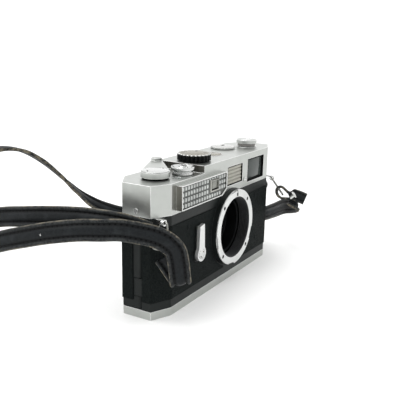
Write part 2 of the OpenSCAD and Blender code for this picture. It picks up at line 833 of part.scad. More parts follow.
far_route = [
    [[69, -30, 41], [0.5, 0.3, 0.8]],
    [[71, -33.5, 37.5], [0.4, 0.5, 0.9]],
    [[77, -28, 34], [0, 0.1, 1]],
    [[83, -20, 31], up],
    [[99, -5, 22], up],
    [[114, 12, 13], up],
    [[120, 35, 7], up],
    [[108, 68, 5.6], up],
    [[88, 96, 5.6], up],
    [[64, 113, 9], [0.2, 0.3, 1]],
    [[47, 127, 19], [0.3, 0.7, 0.8]],
    [[34, 135, 32], [0.3, 0.9, 0.5]],
    [[23, 141, 45], [0.3, 1, 0.2]],
    [[11, 147, 57], [0.3, 1, 0]],
    [[-2, 153, 65], [0.2, 1, 0]],
    [[-20, 158, 67], [0, 1, 0]],
    [[-40, 156, 60], [-0.3, 1, 0]],
    [[-58, 143, 44], [-0.5, 1, 0.2]],
    [[-75, 122, 22], [-0.5, 0.7, 0.8]],
    [[-92, 106, 8], [0, 0.2, 1]],
    [[-112, 101, 5.6], up],
    [[-126, 99.5, 5.6], up]];
coil_at = [-140, 150];
coil_inner = 43;
coil_outer = 54;
coil_h = 11;

module strap_near() {
    strap_sweep(near_route);
}

module strap_tail() {
    strap_sweep(tail_route);
}

module strap_far() {
    strap_sweep(far_route);
}

module strap_coil() {
    color("#1d1e1f") translate([coil_at[0], coil_at[1], 0]) difference() {
        cylinder(r = coil_outer, h = coil_h);
        translate([0, 0, -1]) cylinder(r = coil_inner, h = coil_h + 2);
        translate([-coil_outer - 1, -4, -1]) cube([coil_outer - coil_inner + 4, 8, coil_h + 2]);
    }
}

// Tie round the coil, in the gap left for it
module strap_tie() {
    color("#2e3032") translate([coil_at[0] - (coil_inner + coil_outer) / 2, coil_at[1], 0])
        box([-6.5, 6.5], [-3.8, 3.8], [0, coil_h + 0.8]);
}

module strap_tongue() {
    color("#1d1e1f") strap_sweep([
        [[67.8, -27.7, 45.7], [0.9, 0.3, -0.26]],
        [[68.3, -32.5, 44.4], [0.9, 0.2, 0.1]],
        [[69.3, -37.2, 42.4], [0.7, 0.1, 0.6]],
        [[70.3, -42, 40.8], [0.5, 0, 0.85]]]);
}

module strap_rivet() {
    color("#e8eae7") translate([68.2, -33, 44.2]) sphere(r = 2.6);
}

body_casting();
base_plate();
tripod_bush();
base_key();
base_key_wing();
top_cover();
cell_housing();
cell_grid();
rangefinder_window();
finder_window();
frame_light_window();
finder_block();
eyepiece();
lens_mount();
mount_screws();
throat_baffle();
rf_arm();
timer_base();
timer_lever();
wind_lever();
wind_cap();
counter_disc();
counter_window();
release_collar();
release_button();
speed_dial();
meter_scale();
meter_window();
meter_needle();
frame_dial();
rewind_sleeve();
rewind_knob();
rewind_crank();
lug_left();
lug_right();
ring_left();
ring_right();
back_door();
hinge_pin();
door_leather();
pressure_plate();
plate_springs();
door_latch();
front_leather_left();
front_leather_right();
film_gate();
shutter_curtain();
curtain_drum();
take_up_spool();
sprocket();
sync_socket();
meter_switch();
cover_screws();
strap_near();
strap_tail();
strap_far();
strap_coil();
strap_tie();
strap_tongue();
strap_rivet();
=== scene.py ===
import json
import math

import bmesh
import bpy
from mathutils import Matrix, Vector, noise


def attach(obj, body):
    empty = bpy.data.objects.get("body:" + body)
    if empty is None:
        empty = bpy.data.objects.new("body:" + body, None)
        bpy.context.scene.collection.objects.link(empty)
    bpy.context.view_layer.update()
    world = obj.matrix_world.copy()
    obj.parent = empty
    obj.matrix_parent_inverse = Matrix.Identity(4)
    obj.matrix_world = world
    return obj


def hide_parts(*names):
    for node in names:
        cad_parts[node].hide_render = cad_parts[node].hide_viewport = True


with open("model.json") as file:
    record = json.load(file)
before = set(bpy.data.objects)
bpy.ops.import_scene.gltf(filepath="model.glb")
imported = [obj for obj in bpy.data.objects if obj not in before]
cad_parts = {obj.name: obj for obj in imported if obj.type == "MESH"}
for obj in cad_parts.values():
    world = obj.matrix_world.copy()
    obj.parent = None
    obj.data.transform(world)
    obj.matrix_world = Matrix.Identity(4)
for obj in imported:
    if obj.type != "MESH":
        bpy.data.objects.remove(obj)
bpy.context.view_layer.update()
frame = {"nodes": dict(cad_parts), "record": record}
MM = 0.001


# ---------------------------------------------------------------- camera
cam_data = bpy.data.cameras.new("camera")
cam_data.lens = 51.32
cam_data.sensor_width = 36
cam_data.clip_start = 0.01
camera = bpy.data.objects.new("camera", cam_data)
bpy.context.scene.collection.objects.link(camera)
RIGHT = Vector((0.49765, -0.86701, 0.02530))
UP = Vector((0.21047, 0.14900, 0.96618))
FORWARD = Vector((0.84146, 0.47549, -0.25663))
camera.matrix_world = Matrix((
    (RIGHT.x, UP.x, -FORWARD.x, -0.304547),
    (RIGHT.y, UP.y, -FORWARD.y, -0.175735),
    (RIGHT.z, UP.z, -FORWARD.z, 0.138084),
    (0, 0, 0, 1)))
bpy.context.scene.camera = camera


# ---------------------------------------------------------------- node helpers
class Tree:
    """A material's node tree, with short calls for the nodes used here."""

    def __init__(self, name):
        self.mat = bpy.data.materials.new(name)
        self.mat.use_nodes = True
        self.t = self.mat.node_tree
        self.t.nodes.clear()
        self.out = self.t.nodes.new("ShaderNodeOutputMaterial")
        self.bsdf = self.t.nodes.new("ShaderNodeBsdfPrincipled")
        self.t.links.new(self.bsdf.outputs[0], self.out.inputs[0])

    def put(self, socket, value):
        """Link a node's output, or set a plain value."""
        if isinstance(value, bpy.types.NodeSocket):
            self.t.links.new(value, socket)
        elif value is not None:
            socket.default_value = value

    def node(self, kind, out=0, **sockets):
        """Add a node: _name sets a property, i0, i1 ... an input by place, and others by name, 9 being a space."""
        n = self.t.nodes.new(kind)
        for key, value in sockets.items():
            if key.startswith("_"):
                setattr(n, key[1:], value)
        for key, value in sockets.items():
            if not key.startswith("_"):
                self.put(n.inputs[int(key[1:])] if key[1:].isdigit() else n.inputs[key.replace("9", " ")], value)
        return n.outputs[out]

    def coords(self):
        return self.node("ShaderNodeTexCoord", 3)

    def attr(self, name):
        return self.node("ShaderNodeAttribute", 2, _attribute_name=name)

    def noise(self, scale, detail=3.0, rough=0.5, vector=None, out=0):
        return self.node("ShaderNodeTexNoise", out, Vector=vector or self.coords(), Scale=scale, Detail=detail,
                         Roughness=rough)

    def cells(self, scale, vector=None):
        """The distance to the nearest border between cells."""
        return self.node("ShaderNodeTexVoronoi", _feature="DISTANCE_TO_EDGE", Vector=vector or self.coords(),
                         Scale=scale)

    def math(self, op, a, b=None):
        return self.node("ShaderNodeMath", _operation=op, i0=a, i1=b)

    def span(self, value, a, b, lo=0.0, hi=1.0):
        """Map value from a..b to lo..hi, held at the ends."""
        return self.node("ShaderNodeMapRange", i0=value, i1=a, i2=b, i3=lo, i4=hi)

    def mix(self, fac, a, b):
        n = self.t.nodes.new("ShaderNodeMix")
        n.data_type = "RGBA"
        self.put(n.inputs[0], fac)
        self.put(n.inputs[6], a if isinstance(a, bpy.types.NodeSocket) else (*a, 1))
        self.put(n.inputs[7], b if isinstance(b, bpy.types.NodeSocket) else (*b, 1))
        return n.outputs[2]

    def bump(self, height, strength, distance):
        soft = self.node("ShaderNodeBevel", _samples=4, Radius=0.0004)
        return self.node("ShaderNodeBump", Height=height, Strength=strength, Distance=distance, Normal=soft)

    def surface(self, **sockets):
        """Set the shader's sockets and return the material."""
        for key, value in sockets.items():
            if isinstance(value, tuple) and len(value) == 3:
                value = (*value, 1)
            self.put(self.bsdf.inputs[key.replace("9", " ")], value)
        return self.mat


def edge_highlight(t, tone, pale, size=0.0006):
    """Mix tone to pale where the surface turns sharply: a painted highlight along each edge, standing in for light
    caught on the rounded edges of plating.
    """
    round_normal = t.node("ShaderNodeBevel", _samples=6, Radius=size)
    flat_normal = t.node("ShaderNodeNewGeometry", 1)
    turn = t.node("ShaderNodeVectorMath", 1, _operation="DOT_PRODUCT", i0=round_normal, i1=flat_normal)
    return t.mix(t.span(turn, 0.985, 0.86, 0.0, 0.85), tone, pale)


def metal(name, colour, rough, grain=0.25, scale=2600, worn=0.06, metallic=1.0, wear_and_highlight=True, shade=None):
    """Plated or bare metal: fine grain in the normal, cloudy roughness, a little tone variation and, unless turned
    off, a painted highlight along sharp edges.
    """
    t = Tree(name)
    cloud = t.noise(95, 4, 0.6)
    dark = tuple(c * (1 - worn) for c in colour)
    pale = tuple(min(1, c * (1 + worn * 0.5)) for c in colour)
    tone = t.mix(t.span(cloud, 0.3, 0.7), dark, pale)
    if shade:
        tone = shade(t, tone)
    # painted highlight: a near-white line along sharp edges, for light caught on rounded edges
    if wear_and_highlight:
        tone = edge_highlight(t, tone, (0.98, 0.98, 0.98))
    r = t.span(t.noise(320, 5, 0.65), 0.3, 0.7, rough * 0.86, rough * 1.16)
    n = t.bump(t.noise(scale, 2, 0.6), grain, 0.00003)
    return t.surface(Base9Color=tone, Metallic=metallic, Roughness=r, Normal=n)


def shaded_ends(low):
    """Faces towards -X above the height low are painted darker and browner, with faint streaks: painted shade
    standing in for the shade and dark reflections on these end faces.
    """
    def shade(t, tone):
        facing = t.node("ShaderNodeSeparateXYZ", 0, Vector=t.node("ShaderNodeTexCoord", 1))
        height = t.node("ShaderNodeSeparateXYZ", 2, Vector=t.coords())
        lines = t.node("ShaderNodeSeparateXYZ", 1, Vector=t.coords())
        streak = t.noise(1.0, 3, 0.6, t.node("ShaderNodeCombineXYZ", i0=t.math("MULTIPLY", lines, 1400)))
        # painted shade on the faces towards -X above the height low
        mask = t.math("MULTIPLY", t.span(facing, -0.55, -0.75), t.span(height, low, low + 0.0002))
        return t.mix(mask, tone, t.mix(t.span(streak, 0.35, 0.65), (0.15, 0.145, 0.13), (0.27, 0.26, 0.235)))
    return shade


def turned(name, colour, rough, ring=2600.0, strength=0.15):
    """Lathe-turned metal: fine rings round the piece's own Z axis, carried in the attribute reach."""
    t = Tree(name)
    reach = t.attr("reach")
    rings = t.math("SINE", t.math("MULTIPLY", reach, ring * 6.283))
    cloud = t.noise(140, 3, 0.6)
    tone = t.mix(t.span(cloud, 0.3, 0.7), tuple(c * 0.92 for c in colour), colour)
    n = t.bump(t.math("ADD", rings, t.noise(2400, 2)), strength, 0.00002)
    r = t.span(cloud, 0.3, 0.7, rough * 0.85, rough * 1.2)
    return t.surface(Base9Color=tone, Metallic=1.0, Roughness=r, Normal=n)


def paint(name, colour, rough, grain=0.35, scale=1500, gloss=0.5):
    """Paint, glass or plastic: specks in the normal and the roughness, and a cloudy tone."""
    t = Tree(name)
    speck = t.noise(scale, 4, 0.7)
    cloud = t.noise(60, 3)
    tone = t.mix(t.span(cloud, 0.35, 0.7), tuple(c * 0.8 for c in colour), tuple(c * 1.25 for c in colour))
    n = t.bump(speck, grain, 0.00005)
    r = t.span(speck, 0.3, 0.7, rough * 0.85, rough * 1.12)
    return t.surface(Base9Color=tone, Roughness=r, Specular9IOR9Level=gloss, Normal=n)


def leathercloth_material():
    """Fine pebbled covering: small cells with dark valleys and slightly shiny tops."""
    t = Tree("leathercloth")
    bend = t.noise(420, 3, 0.6, out=1)
    cells = t.cells(1250, t.mix(0.0016, t.coords(), bend))
    pebble = t.span(cells, 0.0, 0.22)
    coarse = t.noise(300, 3, 0.6)
    tone = t.mix(pebble, (0.0025, 0.004, 0.004), (0.010, 0.0125, 0.012))
    tone = t.mix(t.span(coarse, 0.55, 0.8, 0, 0.35), tone, (0.016, 0.020, 0.019))
    height = t.math("ADD", pebble, t.math("MULTIPLY", coarse, 0.5))
    return t.surface(Base9Color=tone, Roughness=t.span(pebble, 0, 1, 0.75, 0.55), Specular9IOR9Level=0.05,
                     Normal=t.bump(height, 0.5, 0.00008))


GROOVE = 0.52      # where a stitched groove lies between the strap's middle (0) and its edge (1)
STITCH = 0.0026    # from one stitch to the next


def strap_material(name="strap_leather"):
    """Worn black strap leather. The mesh carries across (-1 to 1) and along (metres)."""
    t = Tree(name)
    u = t.math("ABSOLUTE", t.attr("across"))
    s = t.attr("along")
    grain = t.cells(1100)
    fine = t.noise(900, 5, 0.7)
    patch = t.noise(85, 4, 0.6)
    lengthways, sideways = t.math("MULTIPLY", s, 700), t.math("MULTIPLY", t.attr("across"), 1.1)
    wrinkle = t.noise(1.0, 4, 0.6, t.node("ShaderNodeCombineXYZ", i0=lengthways, i1=sideways))
    base = t.mix(t.span(fine, 0.3, 0.75), (0.004, 0.005, 0.006), (0.014, 0.0165, 0.018))
    base = t.mix(t.span(patch, 0.5, 0.72, 0, 0.5), base, (0.034, 0.039, 0.041))
    # painted highlight: a lighter, patchy tone along the raised outer welts
    welt_highlight = t.math("MULTIPLY", t.span(u, 0.6, 0.72), t.span(fine, 0.4, 0.65, 0, 0.4))
    base = t.mix(welt_highlight, base, (0.085, 0.088, 0.084))
    # the edges are rubbed through to tan in patches
    edge = t.span(u, 0.86, 0.985)
    wear_and_highlight = t.math("MULTIPLY", edge, t.span(t.noise(260, 5, 0.72), 0.44, 0.60))
    tan = t.mix(t.span(fine, 0.3, 0.7), (0.13, 0.105, 0.065), (0.36, 0.32, 0.235))
    base = t.mix(t.math("MULTIPLY", wear_and_highlight, 0.72), base, tan)
    # a row of stitches sits in each groove
    phase = t.math("FRACT", t.math("MULTIPLY", s, 1 / STITCH))
    dash = t.math("MULTIPLY", t.span(phase, 0.12, 0.22), t.span(phase, 0.9, 0.8))
    off_groove = t.math("ABSOLUTE", t.math("SUBTRACT", u, GROOVE))
    seam = t.math("SUBTRACT", 1.0, t.span(off_groove, 0.02, 0.11))
    stitch = t.math("MULTIPLY", dash, seam)
    # painted shade: darker towards each stitched groove and near-black in it, standing in for the shadow in the deep
    # grooves
    groove_shade = t.span(off_groove, 0.24, 0.05, 0.0, 0.75)
    base = t.mix(groove_shade, base, (0.0025, 0.003, 0.0035))
    base = t.mix(t.math("MULTIPLY", seam, 0.95), base, (0.0010, 0.0010, 0.0014))
    base = t.mix(t.math("MULTIPLY", stitch, 0.45), base, (0.030, 0.032, 0.032))
    h = t.math("ADD", t.math("MULTIPLY", t.span(grain, 0, 0.2), 0.35), t.math("MULTIPLY", fine, 0.5))
    h = t.math("ADD", h, t.math("MULTIPLY", wrinkle, 0.9))
    h = t.math("ADD", h, t.math("MULTIPLY", stitch, 0.9))
    rough = t.span(fine, 0.3, 0.7, 0.34, 0.55)
    return t.surface(Base9Color=base, Roughness=rough, Specular9IOR9Level=0.13, Normal=t.bump(h, 0.55, 0.00016))


# ---------------------------------------------------------------- curves and sweeps
def smooth(points, step):
    """Points every step along a centripetal Catmull-Rom curve through the given ones, with each one's share."""
    p = [Vector(q) for q in points]
    p = [p[0] * 2 - p[1]] + p + [p[-1] * 2 - p[-2]]
    fine, where = [], []
    for i in range(1, len(p) - 2):
        a, b, c, d = p[i - 1:i + 3]
        t1 = (b - a).length ** 0.5
        t2 = t1 + (c - b).length ** 0.5
        t3 = t2 + (d - c).length ** 0.5
        for k in range(24):
            t = t1 + (t2 - t1) * k / 24
            a1 = a * ((t1 - t) / t1) + b * (t / t1)
            a2 = b * ((t2 - t) / (t2 - t1)) + c * ((t - t1) / (t2 - t1))
            a3 = c * ((t3 - t) / (t3 - t2)) + d * ((t - t2) / (t3 - t2))
            b1 = a1 * ((t2 - t) / t2) + a2 * (t / t2)
            b2 = a2 * ((t3 - t) / (t3 - t1)) + a3 * ((t - t1) / (t3 - t1))
            fine.append(b1 * ((t2 - t) / (t2 - t1)) + b2 * ((t - t1) / (t2 - t1)))
            where.append(i - 1 + k / 24)
    fine.append(p[-2].copy())
    where.append(len(p) - 3)
    reach = [0.0]
    for a, b in zip(fine, fine[1:]):
        reach.append(reach[-1] + (b - a).length)
    count = max(4, round(reach[-1] / step))
    out, share, j = [], [], 0
    for k in range(count + 1):
        s = reach[-1] * k / count
        while j < len(reach) - 2 and reach[j + 1] < s:
            j += 1
        f = (s - reach[j]) / max(1e-12, reach[j + 1] - reach[j])
        out.append(fine[j].lerp(fine[j + 1], f))
        share.append(where[j] + (where[j + 1] - where[j]) * f)
    return out, share, reach[-1]


STRAP_W, STRAP_T = 11, 2.6
# half of the strap's section from one edge to the middle: place across, height
SECTION = [(1.0, 0.0), (0.985, 0.42), (0.93, 0.78), (0.84, 1.0), (0.74, 1.0), (0.64, 0.72),
           (0.57, 0.30), (GROOVE, 0.12), (0.47, 0.30), (0.40, 0.60), (0.25, 0.86), (0.08, 0.96)]


def section():
    """The strap's whole section, top then underside."""
    top = SECTION + [(-u, h) for u, h in reversed(SECTION)]
    return top + [(u, -h) for u, h in reversed(top[1:-1])]


def strap(name, route, step=1.2, width=STRAP_W, thick=STRAP_T, wave=0.12):
    """A stitched strap swept along [point, direction of its width] pairs, in mm.

    Returns the piece, its path and its length.
    """
    pts, share, length = smooth([r[0] for r in route], step)
    dirs = [Vector(r[1]).normalized() for r in route]
    ring = section()
    bm = bmesh.new()
    across = bm.verts.layers.float.new("across")
    along = bm.verts.layers.float.new("along")
    rows, s = [], 0.0
    last = len(pts) - 1
    for k, p in enumerate(pts):
        t = (pts[min(k + 1, last)] - pts[max(k - 1, 0)]).normalized()
        i = min(int(share[k]), len(dirs) - 2)
        f = share[k] - i
        f = f * f * (3 - 2 * f)
        w = dirs[i].lerp(dirs[i + 1], f)
        w = (w - t * w.dot(t)).normalized()
        n = t.cross(w)
        if k:
            s += (p - pts[k - 1]).length
        row = []
        for u, h in ring:
            wob = wave * noise.noise(p * 0.09 + Vector((u * 1.5, h, 3)))
            v = bm.verts.new((p + w * (u * width / 2) + n * (h * thick / 2 + wob * (1 - abs(u)))) * MM)
            v[across] = u
            v[along] = s * MM
            row.append(v)
        rows.append(row)
    m = len(ring)
    for a, b in zip(rows, rows[1:]):
        for j in range(m):
            bm.faces.new((a[j], b[j], b[(j + 1) % m], a[(j + 1) % m]))
    bm.faces.new(rows[0])
    bm.faces.new(list(reversed(rows[-1])))
    piece = finished(bm, name, 1.1)
    return piece, [list(p * MM) for p in pts], length * MM


def finished(bm, name, sharp=0.6):
    """An object made of bm, shaded smooth except at edges sharper than sharp (radians)."""
    bmesh.ops.recalc_face_normals(bm, faces=bm.faces)
    mesh = bpy.data.meshes.new(name)
    bm.to_mesh(mesh)
    bm.free()
    piece = bpy.data.objects.new(name, mesh)
    bpy.context.scene.collection.objects.link(piece)
    for f in mesh.polygons:
        f.use_smooth = True
    mesh.set_sharp_from_angle(angle=sharp)
    return piece


# ---------------------------------------------------------------- cords: the neck strap
UPW = (0, 0, 1)
STRAP_MAT = strap_material()
RING = (0.2, 0.1, 1)
NEAR = [
    [(-72.6, -11, 49.4), (0.27, 0.04, 0.96)],
    [(-76.2, -8.2, 51.5), (0.24, 0.1, 0.97)],
    [(-80, -4.5, 53.6), RING],
    [(-83, -1, 55), RING],
    [(-86.5, 8, 56), RING],
    [(-89, 19, 56), RING],
    [(-90.5, 38, 54), RING],
    [(-91.5, 55, 51.5), RING],
    [(-91.5, 74, 48), RING],
    [(-92, 92, 42), UPW],
    [(-93, 108, 33.5), UPW],
    [(-94, 124, 24), UPW]]
TAIL = [
    [(-69.5, -18, 37), (0.45, -0.9, -0.1)],
    [(-68, -20.5, 33), (0.5, -0.9, 0)],
    [(-67, -23.5, 28.5), (0.5, -0.9, 0.1)],
    [(-66.8, -26, 25.4), (0.5, -0.8, 0.2)],
    [(-68.1, -27.4, 24.4), (0.5, -0.8, 0.2)],
    [(-69.4, -28, 26.9), (0.5, -0.8, 0.2)],
    [(-69.6, -27.5, 31.6), (0.5, -0.8, 0.2)],
    [(-70.2, -27, 37.5), (0.5, -0.8, 0.2)],
    [(-71.2, -26, 42.5), (0.5, -0.75, 0.4)],
    [(-73, -24, 45.7), (0.5, -0.6, 0.6)],
    [(-75.5, -21, 48.3), (0.45, -0.3, 0.8)],
    [(-78.5, -17, 50.3), (0.4, -0.1, 0.9)],
    [(-83.5, -11, 52.2), (0.3, 0, 1)],
    [(-88, -5, 53.5), RING],
    [(-93.5, 2.5, 53.5), RING],
    [(-97.5, 11.5, 53), RING],
    [(-102, 26.5, 50.3), RING],
    [(-104.5, 41.5, 46.2), RING],
    [(-106, 58, 41), RING],
    [(-107, 76.5, 33.7), RING],
    [(-107.3, 92, 24.5), (0.6, 0.1, 0.75)],
    [(-107.8, 106, 16.5), (0.95, 0.1, 0.2)],
    [(-108.5, 117, 13), (1, 0, 0)]]
FAR = [
    [(69, -30, 41), (0.5, 0.3, 0.8)],
    [(71, -33.5, 37.5), (0.4, 0.5, 0.9)],
    [(77, -28, 34), (0, 0.1, 1)],
    [(83, -20, 31), UPW],
    [(99, -5, 22), UPW],
    [(114, 12, 13), UPW],
    [(120, 35, 7), UPW],
    [(108, 68, 5.9), UPW],
    [(88, 96, 5.9), UPW],
    [(64, 113, 9), (0.2, 0.3, 1)],
    [(47, 127, 19), (0.3, 0.7, 0.8)],
    [(34, 135, 32), (0.3, 0.9, 0.5)],
    [(23, 141, 45), (0.3, 1, 0.2)],
    [(11, 147, 57), (0.3, 1, 0)],
    [(-2, 153, 65), (0.2, 1, 0)],
    [(-20, 158, 67), (0, 1, 0)],
    [(-40, 156, 60), (-0.3, 1, 0)],
    [(-58, 143, 44), (-0.5, 1, 0.2)],
    [(-75, 122, 22), (-0.5, 0.7, 0.8)],
    [(-92, 106, 8), (0, 0.2, 1)],
    [(-112, 101, 5.8), UPW],
    [(-126, 99.5, 5.9), UPW]]
COIL_AT = (-140, 150)


def coil_route():
    """The put-away length: one and three quarter turns, standing on edge, each outside the last."""
    out = []
    start, end, steps = -8, 630, 45
    for k in range(steps + 1):
        a = start + (end - start) * k / steps
        r = 45.4 + 7 * max(0, a) / end
        z = 5.9 + max(0.0, 1 - max(0.0, a - start) / 75) ** 1.5 * 11
        out.append([(COIL_AT[0] + r * math.cos(math.radians(a)), COIL_AT[1] + r * math.sin(math.radians(a)), z), UPW])
    return out


def down(route):
    """The same route from its other end."""
    return [[p, tuple(w)] for p, w in reversed(route)]


def dress(piece, mat, body, replaces=()):
    """Give a piece its material, body, slot and the CAD nodes it stands for."""
    piece.data.materials.append(mat)
    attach(piece, body)
    if replaces:
        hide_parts(*replaces)
    return piece


strap_main, main_path, main_length = strap("strap_long", NEAR + coil_route() + down(FAR))
dress(strap_main, STRAP_MAT, "body", ("strap_near", "strap_coil", "strap_far"))

strap_tail, tail_path, tail_length = strap("strap_short", TAIL)
dress(strap_tail, STRAP_MAT, "body", ("strap_tail",))

# ---------------------------------------------------------------- finishes
# the camera's own faces, in mm: casting front, light cell front, lower deck and raised deck of the top cover
FRONT = -15.5
CELL_FRONT = FRONT - 3.8
DECK, RAISED = 72.4, 76.6
MAT = {
    "satin_chrome": metal("satin_chrome", (0.45, 0.465, 0.445), 0.34, 0.3, 2400),
    "bright_chrome": metal("bright_chrome", (0.56, 0.57, 0.56), 0.2, 0.12, 2000, 0.04),
    "black_paint": paint("black_paint", (0.010, 0.0125, 0.012), 0.42, 0.25, gloss=0.16),
    "dark_metal": paint("dark_metal", (0.002, 0.0026, 0.0024), 0.6, 0.3, 1900, gloss=0.05),
    "leathercloth": leathercloth_material(),
    "strap_leather": STRAP_MAT,
    "window_glass": paint("window_glass", (0.10, 0.12, 0.11), 0.08, 0.02, 500),
    "cell_lens": paint("cell_lens", (0.47, 0.49, 0.475), 0.14, 0.05, 900),
    "frosted_lens": paint("frosted_lens", (0.34, 0.335, 0.29), 0.35, 0.3, 1300, gloss=0.2),
    "scale_cream": paint("scale_cream", (0.55, 0.51, 0.42), 0.5, 0.2, 1400),
    "steel": metal("steel", (0.50, 0.51, 0.50), 0.36, 0.4, 1800),
    "gunmetal": metal("gunmetal", (0.16, 0.165, 0.165), 0.42, 0.3, 1800),
}
MOUNT_WHITE = metal("mount_chrome", (0.66, 0.67, 0.66), 0.42, 0.35, 2200, 0.08, 0.7)
RING_STEEL = metal("ring_steel", (0.30, 0.30, 0.28), 0.16, 0.1, 1800, 0.3, wear_and_highlight=False)
CELL_DARK = paint("cell_back", (0.10, 0.105, 0.10), 0.5, 0.3, 1200, gloss=0.1)
DIAL_BLACK = paint("dial_black", (0.003, 0.0035, 0.004), 0.35, 0.25, 1600, gloss=0.12)
DIAL_TAN = turned("dial_tan", (0.33, 0.315, 0.28), 0.42, 2400, 0.25)
DIAL_CHROME = turned("dial_chrome", (0.55, 0.555, 0.54), 0.26, 2600, 0.12)
HUB_CHROME = turned("hub_chrome", (0.60, 0.61, 0.60), 0.22, 2200, 0.08)
MARK = paint("engraved_mark", (0.006, 0.006, 0.006), 0.6, 0.2, 1500, gloss=0.05)


def pane_material(name, colour, alpha):
    """A thin clear pane: a faint tint and a sharp gloss over what is under it."""
    t = Tree(name)
    tone = t.mix(t.span(t.noise(180, 2), 0.3, 0.7), tuple(c * 0.94 for c in colour), colour)
    n = t.bump(t.noise(260, 2), 0.02, 0.00004)
    return t.surface(Base9Color=tone, Roughness=0.06, Alpha=alpha, Normal=n)


def woven_material(name):
    """A narrow woven band: warp ribs along it and fine picks across."""
    t = Tree(name)
    n1, n2 = [t.node("ShaderNodeTexWave", 1, _wave_type="BANDS", _bands_direction=way, Vector=t.coords(), Scale=scale,
                     Distortion=0.6) for way, scale in (("Y", 260), ("Z", 340))]
    h = t.math("ADD", n1, t.math("MULTIPLY", n2, 0.6))
    tone = t.mix(t.span(h, 0.2, 1.4), (0.008, 0.008, 0.009), (0.035, 0.036, 0.038))
    return t.surface(Base9Color=tone, Roughness=0.8, Normal=t.bump(h, 0.6, 0.0001))


for part in frame["record"]["subparts"]:
    finish = MAT.get(part["material_slot"])
    if finish is None:
        continue
    mesh = frame["nodes"][part["node"]].data
    mesh.materials.clear()
    mesh.materials.append(finish)
frame["nodes"]["mount_screws"].data.materials[0] = MARK
for name in ("lens_mount", "timer_lever"):
    frame["nodes"][name].data.materials[0] = MOUNT_WHITE
# the upper faces towards -X of the top cover and the cell housing get painted shade
frame["nodes"]["top_cover"].data.materials[0] = metal(
    "cover_chrome", (0.45, 0.465, 0.445), 0.34, 0.3, 2400, shade=shaded_ends(0.0725))
frame["nodes"]["cell_housing"].data.materials[0] = metal(
    "housing_chrome", (0.55, 0.56, 0.54), 0.3, 0.2, 2400, shade=shaded_ends(0.05))


# ---------------------------------------------------------------- shape helpers
def add(bm, name, body, mat, sharp=0.6, replaces=()):
    """Make bm a piece that rides body."""
    return dress(finished(bm, name, sharp), mat, body, replaces)


def add_lathe(name, body, mat, at, axis, profile, seg=96, flute=None, sharp=0.6, replaces=()):
    """Add one lathed solid as a piece."""
    bm = bmesh.new()
    lathe(bm, at, axis, profile, seg, flute)
    return add(bm, name, body, mat, sharp, replaces)


def plate(bm, outline, y_front, y_back):
    """A flat solid in the front plane from (x, z) corners in mm."""
    front = [bm.verts.new((x * MM, y_front * MM, z * MM)) for x, z in outline]
    back = [bm.verts.new((x * MM, y_back * MM, z * MM)) for x, z in outline]
    bm.faces.new(front)
    bm.faces.new(list(reversed(back)))
    count = len(outline)
    for k in range(count):
        n = (k + 1) % count
        bm.faces.new((front[k], front[n], back[n], back[k]))


def stamp(bm, at, degrees, x, y, z, r, seg=1):
    """A soft box turned about the Z axis through at, in mm."""
    part = bmesh.new()
    soft_box(part, x, y, z, r, seg)
    part.transform(Matrix.Translation(Vector(at) * MM) @ Matrix.Rotation(math.radians(degrees), 4, "Z"))
    held = bpy.data.meshes.new("held")
    part.to_mesh(held)
    part.free()
    bm.from_mesh(held)
    bpy.data.meshes.remove(held)


def knurl(count, depth, low, high=1e9, top=1e9, power=1.0):
    """The radius for lathe with count flutes of that depth, between radii low and high and below height top."""
    def at(a, r, h):
        if low < r < high and h < top:
            return r - depth * (0.5 + 0.5 * math.cos(count * a)) ** power
        return r
    return at


def soft_box(bm, x, y, z, r=0.15, seg=2):
    """A box with rounded edges, in mm."""
    made = bmesh.ops.create_cube(bm, size=1)["verts"]
    size = Vector((x[1] - x[0], y[1] - y[0], z[1] - z[0]))
    mid = Vector((x[0] + x[1], y[0] + y[1], z[0] + z[1])) / 2
    for v in made:
        v.co = Vector((v.co.x * size.x, v.co.y * size.y, v.co.z * size.z)) + mid
        v.co *= MM
    edges = list({e for v in made for e in v.link_edges})
    bmesh.ops.bevel(bm, geom=edges, offset=r * MM, segments=seg, affect="EDGES", profile=0.5)


def lathe(bm, at, axis, profile, seg=96, flute=None):
    """A turned solid in mm: profile is (radius, height) from one end to the other along axis.

    flute(angle, radius, height) gives the radius there.
    """
    reach = bm.verts.layers.float.get("reach") or bm.verts.layers.float.new("reach")
    axis = Vector(axis).normalized()
    side = axis.orthogonal().normalized() if abs(axis.z) < 0.9 else Vector((1, 0, 0))
    other = axis.cross(side)
    rows = []
    for r, h in profile:
        if r <= 0:
            v = bm.verts.new((Vector(at) + axis * h) * MM)
            v[reach] = 0
            rows.append([v])
            continue
        row = []
        for k in range(seg):
            a = 2 * math.pi * k / seg
            q = flute(a, r, h) if flute else r
            v = bm.verts.new((Vector(at) + axis * h + (side * math.cos(a) + other * math.sin(a)) * q) * MM)
            v[reach] = q * MM
            row.append(v)
        rows.append(row)
    for a, b in zip(rows, rows[1:]):
        for k in range(seg):
            n = (k + 1) % seg
            if len(a) == 1 and len(b) == 1:
                continue
            if len(a) == 1:
                bm.faces.new((a[0], b[n], b[k]))
            elif len(b) == 1:
                bm.faces.new((a[k], a[n], b[0]))
            else:
                bm.faces.new((a[k], a[n], b[n], b[k]))


def frame_ring(bm, x, z, wall, y_front, y_back, taper=0.0):
    """A rectangular bezel in the front plane: its opening narrows by taper towards the back."""
    (x0, x1), (z0, z1) = x, z
    def loop(i, y):
        return [bm.verts.new(Vector(p) * MM) for p in
                ((x0 + i, y, z0 + i), (x1 - i, y, z0 + i), (x1 - i, y, z1 - i), (x0 + i, y, z1 - i))]
    loops = [loop(0, y_back), loop(0, y_front), loop(wall, y_front), loop(wall + taper, y_back)]
    for a, b in zip(loops, loops[1:] + loops[:1]):
        for k in range(4):
            bm.faces.new((a[k], a[(k + 1) % 4], b[(k + 1) % 4], b[k]))


